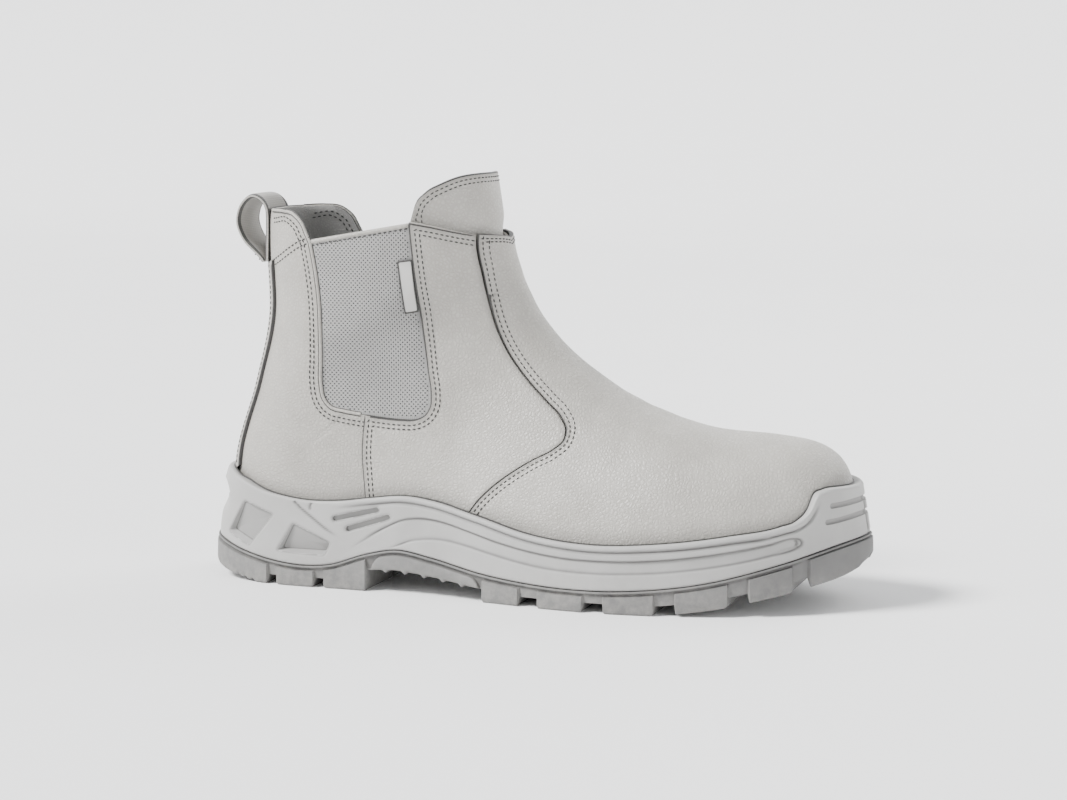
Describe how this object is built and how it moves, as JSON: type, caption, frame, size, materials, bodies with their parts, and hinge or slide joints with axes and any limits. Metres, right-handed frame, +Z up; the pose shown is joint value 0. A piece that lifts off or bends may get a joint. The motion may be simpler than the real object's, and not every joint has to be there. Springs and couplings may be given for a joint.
{
  "type": "leather ankle boot",
  "caption": "Right-foot pull-on leather ankle boot with elastic side panels, a rear pull loop, a front flap and a lugged two-layer sole.",
  "frame": {"origin": "middle of the sole's length and width, on the floor under the tread", "axes": "+X from heel to toe, +Y to the inner side of the foot, +Z up"},
  "size_m": [0.31, 0.11, 0.1881],
  "materials": {
    "pale_leather": "fine grain, half matt",
    "grey_elastic": "woven elastic",
    "pale_foam": "moulded polyurethane foam skin",
    "grey_rubber": "matt",
    "pale_webbing": "woven tape",
    "insole_cloth": "cloth-faced foam"
  },
  "bodies": {
    "root": {"upper": "pale_leather", "vamp": "pale_leather", "quarter_outer": "pale_leather", "quarter_inner": "pale_leather", "front_flap": "pale_leather", "back_strip": "pale_leather", "gore_outer": "grey_elastic", "gore_inner": "grey_elastic", "midsole": "pale_foam", "outsole": "grey_rubber", "pull_loop": "pale_webbing", "label_tab": "pale_webbing", "insole": "insole_cloth"}
  },
  "joints": []
}
